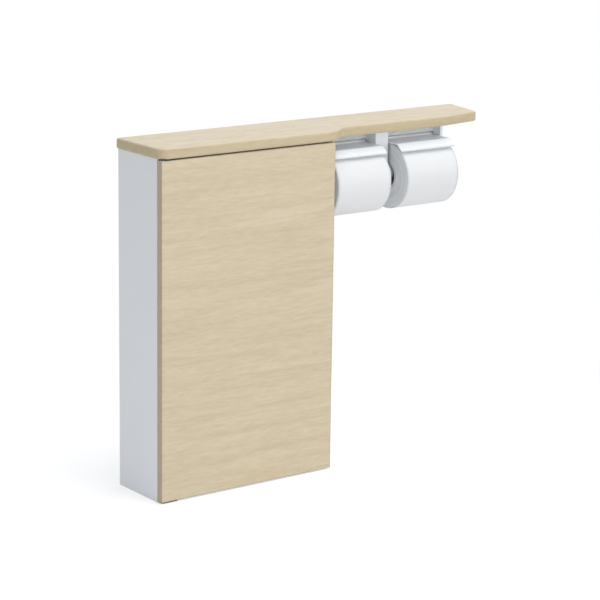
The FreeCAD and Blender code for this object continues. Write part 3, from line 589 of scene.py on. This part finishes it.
low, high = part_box("paper_roll_1")
tissue = embossed_tissue("Embossed_tissue_paper", (high.z - low.z) / 2, (high.x - low.x) / 2)
for k, (roll, body) in enumerate(zip(rolls, ("roll_left", "roll_right")), 1):
    roll.data.materials.append(tissue)
    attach(roll, body)
    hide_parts(f"paper_roll_{k}")
print("papered", [roll.name for roll in rolls])


# %% [markdown]
# The tube inside is wound from strips of grey-brown card, glued edge to edge in a spiral. The seam
# shows as a thin dark line that climbs round the bore, and the cut ends are a little ragged. The tube
# is a ring swept round its axis, and the seam comes from angle and length together.

# %% Wound card tube
def wound_card(name, radius):
    material, tree, shader, place = start_finish(name)
    split = add_node(tree, "ShaderNodeSeparateXYZ", inputs={0: place})
    angle = add_node(
        tree, "ShaderNodeMath", {"operation": "ARCTAN2"}, {0: split.outputs["Z"], 1: split.outputs["Y"]}
    )
    turn = add_node(tree, "ShaderNodeMath", {"operation": "DIVIDE"}, {0: angle.outputs[0], 1: math.tau})
    # The strip of card is about 70 mm wide along the tube.
    climb = add_node(
        tree, "ShaderNodeMath", {"operation": "MULTIPLY_ADD"},
        {0: split.outputs["X"], 1: per_mm(70)[0], 2: turn.outputs[0]},
    )
    part = add_node(tree, "ShaderNodeMath", {"operation": "FRACT"}, {0: climb.outputs[0]})
    seam = add_node(tree, "ShaderNodeMapRange", inputs={0: part.outputs[0], 1: 0.0, 2: 0.015, 3: 1.0, 4: 0.0})
    fibre_scale = add_node(tree, "ShaderNodeMapping", inputs={"Vector": place, "Scale": per_mm(2.5, 0.8, 0.8)})
    fibres = add_node(
        tree, "ShaderNodeTexNoise", inputs={"Vector": fibre_scale.outputs[0], "Scale": 1.0, "Detail": 5.0}
    )
    card = add_node(
        tree, "ShaderNodeMix", {"data_type": "RGBA"},
        {0: fibres.outputs[0], 6: linear("#B5B0A7"), 7: linear("#9C978E")},
    )
    colour = add_node(
        tree, "ShaderNodeMix", {"data_type": "RGBA"},
        {0: seam.outputs[0], 6: card.outputs[2], 7: linear("#5F5B55")},
    )
    height = add_node(tree, "ShaderNodeMath", {"operation": "SUBTRACT"}, {0: fibres.outputs[0], 1: seam.outputs[0]})
    relief = add_node(
        tree, "ShaderNodeBump", inputs={"Height": height.outputs[0], "Strength": 0.4, "Distance": 0.15 * MM}
    )
    tree.links.new(colour.outputs[2], shader.inputs["Base Color"])
    tree.links.new(relief.outputs[0], shader.inputs["Normal"])
    shader.inputs["Roughness"].default_value = 0.85
    return material


def card_tube(name, node):
    low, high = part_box(node)
    radius = (high.z - low.z) / 2
    half = (high.x - low.x) / 2
    wall = 1.0 * MM
    rings = []
    section = [(-half, radius - wall), (-half, radius), (0, radius), (half, radius), (half, radius - wall), (0, radius - wall)]
    for x, r in section:
        ring = []
        for k in range(SIDES):
            angle = math.tau * k / SIDES
            ragged = 0.15 * MM * (1 + math.sin(7 * angle) * math.cos(3 * angle)) if abs(x) == half else 0
            inward = -ragged if x > 0 else ragged
            ring.append((x + inward, r * math.cos(angle), r * math.sin(angle)))
        rings.append(ring)
    tube = ring_mesh(name, rings, SIDES, True)
    tube.location = (low + high) / 2
    return tube


card = wound_card("Wound_grey_card", 20 * MM)
for k, body in enumerate(("roll_left", "roll_right"), 1):
    tube = card_tube(f"card_tube_{k}", f"roll_core_{k}")
    for face in tube.data.polygons:
        face.use_smooth = abs(face.normal.x) < 0.5
    tube.data.materials.append(card)
    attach(tube, body)
    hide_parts(f"roll_core_{k}")
    print("tube", tube.name, "of", len(tube.data.vertices), "points")


# %% [markdown]
# Inside the centre arm a coil spring pushes each pad out, and it gets shorter as the pad is pressed
# in. A packed coil keeps its length, so a coil of the same size takes its place: small circles are set
# along a helix and skinned, and the coil is hung on the cabinet.

# %% Springs behind the pads
def coil_spring(name, node):
    low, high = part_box(node)
    wire = 0.4 * MM
    turns, steps, corners = 8, 40, 12
    reach = (high.z - low.z) / 2 - wire
    half = (high.x - low.x) / 2 - wire
    rings = []
    for k in range(turns * steps + 1):
        angle = math.tau * k / steps
        along = half * (2 * k / (turns * steps) - 1)
        ring = []
        for j in range(corners):
            lean = math.tau * j / corners
            out = reach + wire * math.cos(lean)
            ring.append((along + wire * math.sin(lean), out * math.cos(angle), out * math.sin(angle)))
        rings.append(ring)
    coil = ring_mesh(name, rings, corners, False)
    coil.location = (low + high) / 2
    coil.data.materials.append(spring_wire)
    return coil


for k, side, end in ((1, "left", 1), (2, "right", 0)):
    coil = coil_spring(f"pad_coil_{k}", f"pad_spring_{k}")
    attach(coil, "cabinet")
    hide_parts(f"pad_spring_{k}")
    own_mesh(coil)


# %% [markdown]
# The camera looks from the front left and a little above, from almost four metres away through a long
# lens, which keeps upright edges nearly parallel. Its place and turn were worked out from the corners
# of the cabinet as the photograph shows them. A camera looks along its own minus Z, so it is tipped up
# to level first, then turned, and last rolled about its own axis.

# %% Camera
camera_place = Vector((-2311.9, -3070.6, 1211.8)) * MM
camera_turn = math.radians(36.631)
camera_dip = math.radians(13.5225)
camera_roll = math.radians(0.808)
focal_px = 2280.8
image_px = 600

lens = bpy.data.cameras.new("studio_camera")
lens.sensor_width = 36
lens.lens = focal_px / image_px * lens.sensor_width
camera = bpy.data.objects.new("studio_camera", lens)
bpy.context.scene.collection.objects.link(camera)
aim = Euler((math.pi / 2 - camera_dip, 0, -camera_turn)).to_matrix() @ Matrix.Rotation(camera_roll, 3, "Z")
camera.matrix_world = Matrix.Translation(camera_place) @ aim.to_4x4()
bpy.context.scene.camera = camera
print("lens", round(lens.lens, 1), "mm at", round(camera_place.length, 2), "m")


# %% [markdown]
# The floor is a plain white disc that carries the soft shadow under the cabinet. Towards its rim it
# turns into pure white for the camera, for reflections and for light through clear pieces, so it meets
# the white background with no edge, while it gives the object no more light than a white floor would.
# FLOOR_LIFT is a little white added in the same views, which keeps the shadow pale.

# %% Floor
FLOOR_LIFT = 0.35


def studio_floor(name):
    material, tree, shader, place = start_finish(name)
    shader.inputs["Base Color"].default_value = linear("#EDEDED")
    shader.inputs["Roughness"].default_value = 0.9
    shader.inputs["Specular IOR Level"].default_value = 0.1
    path = add_node(tree, "ShaderNodeLightPath")
    seen = add_node(
        tree, "ShaderNodeMath", {"operation": "MAXIMUM"},
        {0: path.outputs["Is Camera Ray"], 1: path.outputs["Is Glossy Ray"]},
    )
    seen_all = add_node(
        tree, "ShaderNodeMath", {"operation": "MAXIMUM"},
        {0: seen.outputs[0], 1: path.outputs["Is Transmission Ray"]},
    )
    white = add_node(tree, "ShaderNodeEmission", inputs={"Color": (1, 1, 1, 1), "Strength": 1.0})
    reach = add_node(tree, "ShaderNodeVectorMath", {"operation": "LENGTH"}, {0: place})
    rim = add_node(
        tree, "ShaderNodeMapRange", {"interpolation_type": "SMOOTHSTEP"},
        {0: reach.outputs["Value"], 1: 0.25, 2: 0.9, 3: 0.0, 4: 1.0},
    )
    share = add_node(tree, "ShaderNodeMath", {"operation": "MULTIPLY"}, {0: rim.outputs[0], 1: seen_all.outputs[0]})
    lift = add_node(tree, "ShaderNodeMath", {"operation": "MULTIPLY"}, {0: seen_all.outputs[0], 1: FLOOR_LIFT})
    glow = add_node(tree, "ShaderNodeEmission", inputs={"Color": (1, 1, 1, 1), "Strength": lift.outputs[0]})
    lifted = add_node(tree, "ShaderNodeAddShader", inputs={0: shader.outputs[0], 1: glow.outputs[0]})
    mixed = add_node(tree, "ShaderNodeMixShader", inputs={0: share.outputs[0], 1: lifted.outputs[0], 2: white.outputs[0]})
    tree.links.new(mixed.outputs[0], tree.nodes["Material Output"].inputs["Surface"])
    return material


disc = bmesh.new()
bmesh.ops.create_circle(disc, cap_ends=True, segments=96, radius=6)
floor_data = bpy.data.meshes.new("studio_floor")
disc.to_mesh(floor_data)
disc.free()
floor = bpy.data.objects.new("studio_floor", floor_data)
bpy.context.scene.collection.objects.link(floor)
floor_data.materials.append(studio_floor("Matt_white_floor"))
print("floor disc", floor.dimensions.x, "m wide")


# %% [markdown]
# Soft light comes from three large panels: the strongest above, one in front to the right, and a weak
# low one at the front left, so that the left side falls into a quiet shade. The world adds about as
# much even light from all round, which keeps the shadows open. It shows itself pure white only to the
# camera, to reflections and through clear pieces.

# %% Light
def light_panel(name, place, target, size, power):
    data = bpy.data.lights.new(name, "AREA")
    data.shape = "SQUARE"
    data.size = size
    data.energy = power
    panel = bpy.data.objects.new(name, data)
    panel.location = place
    panel.rotation_euler = (Vector(target) - Vector(place)).to_track_quat("-Z", "Y").to_euler()
    bpy.context.scene.collection.objects.link(panel)
    return panel


middle = (0, 0, 0.35)
panels = [
    light_panel("front_panel", (1.2, -3.4, 1.6), middle, 2.0, 34),
    light_panel("top_panel_light", (0.3, -0.5, 3.2), middle, 2.0, 45),
    light_panel("left_panel", (-1.7, -2.2, 0.5), middle, 1.5, 13),
]

world = bpy.data.worlds.new("studio_world")
bpy.context.scene.world = world
world.use_nodes = True
tree = world.node_tree
ambient = tree.nodes["Background"]
ambient.inputs["Color"].default_value = linear("#F4F7FA")
ambient.inputs["Strength"].default_value = 0.54
white = add_node(tree, "ShaderNodeBackground", inputs={"Color": (1, 1, 1, 1), "Strength": 1.0})
path = add_node(tree, "ShaderNodeLightPath")
seen = add_node(
    tree, "ShaderNodeMath", {"operation": "MAXIMUM"},
    {0: path.outputs["Is Camera Ray"], 1: path.outputs["Is Glossy Ray"]},
)
seen_all = add_node(
    tree, "ShaderNodeMath", {"operation": "MAXIMUM"},
    {0: seen.outputs[0], 1: path.outputs["Is Transmission Ray"]},
)
chosen = add_node(
    tree, "ShaderNodeMixShader", inputs={0: seen_all.outputs[0], 1: ambient.outputs[0], 2: white.outputs[0]}
)
tree.links.new(chosen.outputs[0], tree.nodes["World Output"].inputs["Surface"])
bpy.context.scene.view_settings.view_transform = "Standard"
print("panels", [panel.name for panel in panels])


# %% [markdown]
# Last, the scene is brought up to date. The finished model keeps the imported one's size, because
# the pieces made anew stay inside the boxes of the imported ones, and a finish has no thickness.

# %% Bring the scene up to date
bpy.context.view_layer.update()
